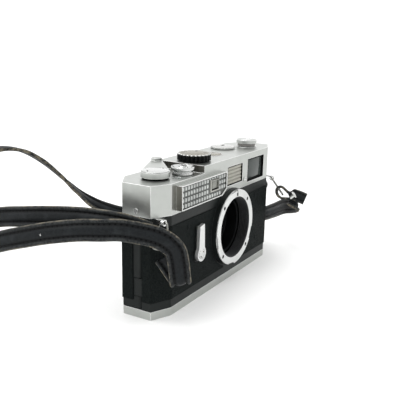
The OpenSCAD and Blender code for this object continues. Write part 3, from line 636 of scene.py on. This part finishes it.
def wire(bm, points, radius, seg=12):
    """A closed loop of round wire along points in mm."""
    pts = [Vector(p) for p in points]
    count = len(pts)
    rows, normal = [], None
    for k, p in enumerate(pts):
        t = (pts[(k + 1) % count] - pts[k - 1]).normalized()
        if normal is None:
            normal = t.orthogonal().normalized()
        normal = (normal - t * normal.dot(t)).normalized()
        other = t.cross(normal)
        rows.append([bm.verts.new((p + (normal * math.cos(q) + other * math.sin(q)) * radius) * MM)
                     for q in (2 * math.pi * j / seg for j in range(seg))])
    # the section comes back turned, so the last row joins the first from its nearest point
    shift = min(range(seg), key=lambda j: (rows[-1][0].co - rows[0][j].co).length)
    for a, b in zip(rows, rows[1:] + [rows[0][shift:] + rows[0][:shift]]):
        for j in range(seg):
            bm.faces.new((a[j], a[(j + 1) % seg], b[(j + 1) % seg], b[j]))


# ---------------------------------------------------------------- light cell and windows
CELL_X, CELL_Z = (-54.6, -6.0), (57.5, 70.8)
COLUMNS, ROWS = 17, 4
RIM = 0.5
pitch_x = (CELL_X[1] - CELL_X[0] - 2 * RIM) / COLUMNS
pitch_z = (CELL_Z[1] - CELL_Z[0] - 2 * RIM) / ROWS
bm = bmesh.new()
for i in range(COLUMNS):
    for j in range(ROWS):
        x0 = CELL_X[0] + RIM + (i + 0.2) * pitch_x
        z0 = CELL_Z[0] + RIM + (j + 0.14) * pitch_z
        x1, z1 = x0 + pitch_x * 0.54, z0 + pitch_z * 0.70
        # leave out the lenses under the rangefinder window and at the cut corner
        over = x1 > -24.6 and x0 < -14.8
        if over and z1 > 69.5:
            z0 = 68.8
        covered = over and 61.6 < z1 < 69.5
        if covered or (j == 0 and i >= COLUMNS - 2):
            continue
        soft_box(bm, (x0, x1), (CELL_FRONT + 0.35, CELL_FRONT + 1.5), (z0, z1), 0.4, 3)
add(bm, "cell_lenses", "body", MAT["cell_lens"], 1.2, ("cell_grid",))
bm = bmesh.new()
left, right = CELL_X[0] + RIM, CELL_X[1] - RIM
low, high = CELL_Z[0] + RIM, CELL_Z[1] - RIM
plate(bm, [(left, low), (right - 5.2, low), (right, low + 3), (right, high), (left, high)],
      CELL_FRONT + 0.95, CELL_FRONT + 1.6)
add(bm, "cell_backing", "body", CELL_DARK)

bm = bmesh.new()
frame_ring(bm, (-24.4, -14.9), (61.7, 68.75), 0.9, CELL_FRONT + 0.3, CELL_FRONT + 1.2)
frame_grey = paint("frame_grey", (0.36, 0.36, 0.33), 0.4, 0.1, 900, gloss=0.2)
add(bm, "rangefinder_frame", "body", frame_grey, 0.5)
bm = bmesh.new()
frame_ring(bm, (-23.5, -15.3), (62.5, 68.6), 0.3, CELL_FRONT + 0.25, CELL_FRONT + 1.5, 0.5)
add(bm, "rangefinder_bezel", "body", MAT["dark_metal"], 0.5)
bm = bmesh.new()
soft_box(bm, (-23.0, -16.0), (CELL_FRONT + 0.85, CELL_FRONT + 1.5), (63.0, 68.2), 0.12)
pane = paint("rangefinder_pane", (0.20, 0.205, 0.18), 0.1, 0.03, 500, gloss=0.3)
add(bm, "rangefinder_glass", "body", pane, 0.6, ("rangefinder_window",))

bm = bmesh.new()
frame_ring(bm, (28.5, 52.4), (58.0, 72.5), 0.25, FRONT + 0.05, FRONT + 2.2, 1.5)
add(bm, "finder_bezel", "body", MAT["dark_metal"], 0.5, ("finder_window",))
bm = bmesh.new()
soft_box(bm, (28.9, 51.0), (FRONT + 1.2, FRONT + 2.1), (59.2, 72.0), 0.3, 3)
pane = paint("finder_pane", (0.048, 0.056, 0.053), 0.12, 0.02, 420, gloss=0.16)
add(bm, "finder_pane", "body", pane)

bm = bmesh.new()
soft_box(bm, (2.0, 20.9), (FRONT + 1.0, FRONT + 2.2), (60.2, 71.3), 0.1)
for k in range(5):
    z0 = 60.35 + 2.2 * k
    soft_box(bm, (2.1, 20.8), (FRONT + 0.45, FRONT + 1.5), (z0, z0 + 1.75), 0.5, 3)
add(bm, "light_ribs", "body", MAT["frosted_lens"], 0.9, ("frame_light_window",))
bm = bmesh.new()
frame_ring(bm, (1.85, 21.45), (59.95, 71.35), 0.3, FRONT + 0.05, FRONT + 1.3, 0.25)
add(bm, "light_bezel", "body", MAT["dark_metal"], 0.5)

# ---------------------------------------------------------------- lens mount
MOUNT, INWARD = (7.0, FRONT, 34.1), (0, 1, 0)
thread = [(18.88, -3.9)]
for k in range(7):
    thread += [(18.88, -3.6 + k), (18.45, -3.35 + k), (18.45, -3.2 + k), (18.88, -2.95 + k)]
thread += [(18.94, 3.3), (18.94, -3.9)]
add_lathe("mount_thread", "body", turned("thread_dark", (0.06, 0.062, 0.064), 0.4, 1500, 0.1),
          MOUNT, INWARD, thread, sharp=0.5)
add_lathe("throat_ring", "body", turned("throat_grey", (0.03, 0.032, 0.033), 0.45, 1200, 0.1),
          MOUNT, INWARD,
          [(16.6, 3.7), (17.3, 3.5), (17.3, 11.8), (16.9, 12.2), (14.6, 12.2), (14.6, 11.9), (16.6, 11.6),
           (16.6, 3.7)], sharp=0.5)
# a black band round the chrome mount's outer side: painted shade, for the ring's dark side and its shadow
add_lathe("mount_shade_band", "body", MAT["black_paint"], MOUNT, INWARD,
          [(23.32, -3.3), (23.5, -3.2), (23.6, -0.4), (23.9, 0), (23.32, 0), (23.32, -3.3)], 120, sharp=0.5)
bm = bmesh.new()
soft_box(bm, (7.3, 8.9), (FRONT - 4.06, FRONT - 3.6), (53.4, 55.6), 0.05, 2)
soft_box(bm, (7.7, 8.6), (FRONT - 4.06, FRONT - 3.6), (56.1, 56.9), 0.05, 2)
add(bm, "mount_index", "body", MARK, 0.6)

# ---------------------------------------------------------------- self-timer
TX, TZ = -32.0, 27.9
add_lathe("timer_disc", "timer", HUB_CHROME, (TX, FRONT, TZ), INWARD,
          [(0, -3.35), (1.6, -3.4), (2.5, -3.3), (2.75, -3.0), (2.75, -2.4), (0, -2.4)], 48, sharp=0.7)
bm = bmesh.new()
for dx, dz in ((-1.2, -1.3), (1.1, 1.0)):
    lathe(bm, (TX + dx, FRONT, TZ + dz), INWARD, [(0, -3.52), (0.34, -3.5), (0.38, -3.2), (0, -3.2)], 16)
add(bm, "timer_disc_holes", "timer", MARK)
# a black plate offset to the left of the lever arm: painted shadow, for the lever's dark side and its shadow on the
# covering
bm = bmesh.new()
arm = [(-3.6, 1.5), (-3.5, 16.2), (-2.4, 16.8), (-1.0, 16.6), (-0.6, 1.5)]
plate(bm, [(TX + x, TZ + z) for x, z in arm], FRONT - 1.22, FRONT - 0.78)
add(bm, "timer_shadow_plate", "timer", MAT["black_paint"], 0.6)

# ---------------------------------------------------------------- top controls
SPEED_AT, UPRIGHT = (-15.0, -2.0, RAISED), (0, 0, 1)
GRIPS = 24
add_lathe("speed_skirt", "speed", DIAL_BLACK, SPEED_AT, UPRIGHT,
          [(0, 0.25), (8.9, 0.25), (9.1, 0.5), (9.75, 0.55), (9.8, 0.8), (9.8, 3.9), (9.3, 3.95), (0, 3.95)],
          288, knurl(GRIPS, 0.95, 9.2, power=1.6), 0.7, ("speed_dial",))
add_lathe("speed_rim", "speed", DIAL_CHROME, SPEED_AT, UPRIGHT,
          [(0, 3.9), (9.55, 3.9), (9.65, 4.1), (9.5, 4.4), (9.2, 4.55), (8.95, 4.5), (8.9, 4.3), (0, 4.3)],
          288, knurl(GRIPS, 0.85, 8.9, power=1.6), 0.7)
add_lathe("speed_plate", "speed", DIAL_TAN, SPEED_AT, UPRIGHT,
          [(0, 4.2), (8.9, 4.2), (8.9, 4.5), (4.7, 4.5), (4.5, 4.62), (4.2, 4.7), (1.0, 4.7), (0, 4.66)])
bm = bmesh.new()
for k in range(11):
    half = 0.16 if k else 0.7
    stamp(bm, SPEED_AT, 20 + 30 * k, (5.6, 7.9), (-half, half), (4.35, 4.54), 0.04)
add(bm, "speed_marks", "speed", MARK, 0.6)

COLLAR_AT = (-35, -7, DECK)
add_lathe("collar_cup", "collar", HUB_CHROME, COLLAR_AT, UPRIGHT,
          [(3.85, 0.15), (5.5, 0.15), (5.6, 0.4), (5.6, 1.5), (5.1, 1.75), (5.0, 2.1), (5.6, 2.6), (6.4, 3.0),
           (6.5, 3.4), (6.5, 4.1), (6.3, 4.5), (5.9, 4.6), (5.4, 4.35), (4.6, 3.5), (3.6, 3.1), (3.0, 3.05),
           (3.0, 0.15), (3.85, 0.15)],
          180, knurl(36, 0.22, 5.55, top=1.6), replaces=("release_collar",))
add_lathe("collar_seat", "body", MAT["dark_metal"], COLLAR_AT, UPRIGHT,
          [(4.2, 0.02), (5.9, 0.02), (5.9, 0.12), (4.2, 0.12), (4.2, 0.02)], 64)

WX, WY = -52.5, -1.0
add_lathe("hub_cap", "winder", HUB_CHROME, (WX, WY, DECK), UPRIGHT,
          [(0, 3.3), (5.2, 3.3), (5.35, 3.5), (7.2, 4.02), (7.35, 4.12), (7.3, 4.3), (6.4, 4.62), (4.4, 4.86),
           (2.2, 4.97), (0, 5.0)], sharp=0.8, replaces=("wind_cap",))
bm = bmesh.new()
for s in (-1, 1):
    lathe(bm, (WX + 5.4 * s, WY - 1.2 * s, DECK), UPRIGHT, [(0, 4.88), (0.42, 4.86), (0.45, 4.5), (0, 4.5)], 16)
add(bm, "hub_pin_holes", "winder", MARK)
# a dark disc under the hub cap: painted shadow in the gap beneath the wind lever hub
add_lathe("hub_shadow_disc", "body", MAT["dark_metal"], (WX, WY, DECK), UPRIGHT,
          [(3.2, 0.02), (7.0, 0.02), (7.0, 0.85), (3.2, 0.85), (3.2, 0.02)], 64)

METER_AT = (10, 0.5, RAISED)
add_lathe("meter_pane", "body", pane_material("meter_pane", (0.36, 0.345, 0.29), 0.62),
          METER_AT, UPRIGHT, [(0, -0.5), (6.35, -0.5), (6.4, -0.1), (6.1, 0.25), (4.2, 0.55), (0, 0.7)],
          72, sharp=0.8, replaces=("meter_window",))
add_lathe("meter_bezel", "body", MAT["gunmetal"], METER_AT, UPRIGHT,
          [(6.4, 0.0), (6.75, 0.0), (6.7, 0.16), (6.45, 0.2), (6.4, 0.0)], 72, sharp=0.5)
bm = bmesh.new()
for k in range(9):
    stamp(bm, (10, -3.3, RAISED), 50 + 10 * k, (7.6, 8.6), (-0.09, 0.09), (-1.72, -1.6), 0.02)
add(bm, "meter_ticks", "body", MARK, 0.6)

add_lathe("frame_plate", "frame_selector", DIAL_CHROME, (34.5, 6, RAISED), UPRIGHT,
          [(2.0, 0.15), (7.6, 0.15), (8.0, 0.4), (8.0, 1.2), (7.7, 1.5), (6.2, 1.6), (5.9, 1.75), (5.4, 1.85),
           (0, 1.95)], 216, knurl(54, 0.3, 7.8), 0.5, ("frame_dial",))
bm = bmesh.new()
soft_box(bm, (33.2, 36.2), (5.3, 6.9), (RAISED + 1.8, RAISED + 2.0), 0.06, 2)
add(bm, "frame_mark", "frame_selector", MARK, 0.6)

RX, RY, KTOP = 52.0, -2.5, RAISED + 4.7
add_lathe("knob_seat", "body", MAT["satin_chrome"], (RX, RY, 0), UPRIGHT,
          [(4.1, RAISED + 0.02), (6.9, RAISED + 0.02), (6.8, RAISED + 0.3), (4.1, RAISED + 0.35),
           (4.1, RAISED + 0.02)], 72, sharp=0.5)
add_lathe("knob_flank", "rewind", turned("knob_flank", (0.26, 0.25, 0.235), 0.3, 1400, 0.15),
          (RX, RY, 0), UPRIGHT,
          [(4.2, RAISED + 0.75), (5.75, RAISED + 0.75), (5.9, RAISED + 1.0), (5.75, KTOP - 2.9), (6.3, KTOP - 2.4),
           (6.75, KTOP - 2.2), (6.75, KTOP - 2.0), (5.2, KTOP - 2.0), (4.2, KTOP - 2.6), (4.2, RAISED + 0.75)],
          216, knurl(48, 0.22, 5.7, 6.0), 0.5)

# ---------------------------------------------------------------- covering studs and seams
bm = bmesh.new()
for x, z in ((-43, 46), (40.3, 46.4), (43.3, 17.7)):
    lathe(bm, (x, FRONT - 0.5, z), (0, -1, 0), [(1.7, -0.02), (1.45, 0.12), (0.9, 0.28), (0, 0.34)], 32)
add(bm, "leather_bumps", "body", MAT["leathercloth"], 1.0)

# ---------------------------------------------------------------- strap fittings
RING_HALF = [(1.75, -0.2), (2.6, 1.8), (3.1, 3.8), (3.2, 6.6), (3.45, 8.6), (3.85, 10.4), (3.85, 12.0), (3.0, 13.3)]


def ring_wire(name, node, body, turn):
    """A strap ring of bent wire: pear-shaped, hanging from its lug."""
    pts = [Vector((0, y, -d)) for y, d in RING_HALF]
    pts += [Vector((0, y, -13.6)) for y in (1.8, 0, -1.8)]
    pts += [Vector((0, -y, -d)) for y, d in reversed(RING_HALF)]
    pts += [Vector((0, y, 0.25)) for y in (-1.0, 0, 1.0)]
    closed, _, _ = smooth(pts + pts[:1], 0.7)
    bm = bmesh.new()
    wire(bm, [turn @ p for p in closed[:-1]], 0.6)
    add(bm, name, body, RING_STEEL, 1.5, (node,))


ring_wire("ring_left_wire", "ring_left", "ring_l",
          Matrix.Translation((-66.8, -16, 53.9)) @ Matrix.Rotation(math.radians(20), 4, "Y"))
ring_wire("ring_right_wire", "ring_right", "ring_r",
          Matrix.Translation((66.8, -16, 53.9)) @ Matrix.Rotation(math.radians(-40), 4, "X")
          @ Matrix.Rotation(math.radians(24 - 90), 4, "Z"))


def fitting(name, route, width, thick, replaces=()):
    """A short leather tab."""
    piece, _, _ = strap(name, route, 0.7, width, thick, 0.04)
    dress(piece, TAB_MAT, "body", replaces)


TAB_MAT = strap_material("tab_leather")
BAR = (0.914, 0.312, -0.262)
fitting("strap_tongue_tab", [
    [(67.2, -30.5, 41.5), (0.9, 0.3, -0.2)],
    [(66.9, -27.6, 41.1), BAR],
    [(66.6, -24.6, 40.9), BAR],
    [(66.4, -21.9, 42.0), BAR],
    [(66.3, -20.5, 44.4), BAR],
    [(66.4, -20.7, 47.0), BAR],
    [(66.8, -22.2, 48.5), BAR],
    [(67.1, -24.3, 48.4), BAR],
    [(67.4, -26.2, 47.0), BAR],
    [(67.8, -28.4, 45.4), (0.9, 0.3, -0.2)],
    [(68.6, -32.2, 44.2), (0.5, 0, 0.8)],
    [(69.7, -36.2, 42.9), (0.35, -0.15, 0.9)],
    [(70.6, -39.8, 41.6), (0.3, -0.2, 0.9)]], 8.2, 1.7, ("strap_tongue",))
fitting("strap_near_tab", [
    [(-72.5, -10.5, 48.3), (0.3, 0, 1)],
    [(-72.4, -13.5, 46.8), (0.3, -0.3, 0.9)],
    [(-70.6, -17, 45.9), (0.3, -0.2, 0.9)],
    [(-69.2, -20.2, 45.6), (0.2, 0, 1)],
    [(-69.8, -22.4, 45.4), (0, 0.2, 1)],
    [(-71.8, -22.6, 45.3), (-0.2, 0.2, 1)]], 4.6, 1.4)

add_lathe("rivet_head", "body", MAT["bright_chrome"], (64.6, -34.0, 45.1), (0.2, -0.69, 0.68),
          [(0, 0.9), (1.2, 0.8), (2.1, 0.45), (2.5, 0.0), (2.4, -0.3), (1.2, -0.4), (1.2, -3.6), (0, -3.6)],
          40, sharp=1.0, replaces=("strap_rivet",))
add_lathe("strap_stud", "body", MAT["bright_chrome"], (-103.8, 31.1, 48.8), (-0.9, -0.4, 0.1),
          [(0, 0.5), (0.5, 0.42), (0.85, 0.1), (0.9, -0.5), (0, -0.6)], 24, sharp=1.0)

# a band folded round the coil's section
bm = bmesh.new()
band = [(-194.3, 5.9), (-194.3, 11.2), (-193.7, 11.6), (-188.5, 11.6), (-183.4, 11.6), (-182.8, 11.2), (-182.8, 5.9),
        (-182.8, 0.6), (-183.4, 0.2), (-188.5, 0.2), (-193.7, 0.2), (-194.3, 0.6)]
mid = Vector((-188.5, 5.9))
BAND_T = 0.7
rows = []
for x, z in band:
    inward = mid - Vector((x, z))
    ix = max(-BAND_T, min(BAND_T, inward.x))
    iz = max(-BAND_T, min(BAND_T, inward.y))
    rows.append([bm.verts.new(Vector(p) * MM) for p in
                 ((x, 146.2, z), (x, 153.8, z), (x + ix, 153.7, z + iz), (x + ix, 146.3, z + iz))])
for a, b in zip(rows, rows[1:] + rows[:1]):
    for k in range(4):
        bm.faces.new((a[k], a[(k + 1) % 4], b[(k + 1) % 4], b[k]))
add(bm, "tie_band", "body", woven_material("tie_band"), 0.9, ("strap_tie",))


# ---------------------------------------------------------------- floor and light
bm = bmesh.new()
bmesh.ops.create_grid(bm, x_segments=4, y_segments=4, size=3.0)
floor = finished(bm, "floor")
t = Tree("floor_white")
tone = t.mix(t.span(t.noise(6, 2), 0.3, 0.7), (0.93, 0.935, 0.93), (0.95, 0.95, 0.945))
floor.data.materials.append(t.surface(Base9Color=tone, Roughness=0.6, Specular9IOR9Level=0.2))

world = bpy.data.worlds.new("studio")
bpy.context.scene.world = world
bpy.context.scene.view_settings.view_transform = "Standard"
world.use_nodes = True
sky = world.node_tree
# the studio is brightest behind the set and dimmer on the camera's left
toward = sky.nodes.new("ShaderNodeVectorMath")
toward.operation = "DOT_PRODUCT"
toward.inputs[1].default_value = (0.82, 0.10, 0.42)
where = sky.nodes.new("ShaderNodeTexCoord")
level = sky.nodes.new("ShaderNodeMapRange")
level.inputs[1].default_value = -0.8
level.inputs[2].default_value = 0.8
level.inputs[3].default_value = 0.75
level.inputs[4].default_value = 1.32
sky.links.new(where.outputs[0], toward.inputs[0])
sky.links.new(toward.outputs[1], level.inputs[0])
sky.links.new(level.outputs[0], sky.nodes["Background"].inputs[1])
sky.nodes["Background"].inputs[0].default_value = (1, 1, 1, 1)


key = bpy.data.lights.new("key", "AREA")
key.shape = "RECTANGLE"
key.size, key.size_y = 0.9, 0.9
key.energy = 7
lamp = bpy.data.objects.new("key", key)
bpy.context.scene.collection.objects.link(lamp)
lamp.location = (-0.45, 0.25, 0.9)
lamp.rotation_euler = (Vector((0, 0, 0.03)) - lamp.location).to_track_quat("-Z", "Y").to_euler()
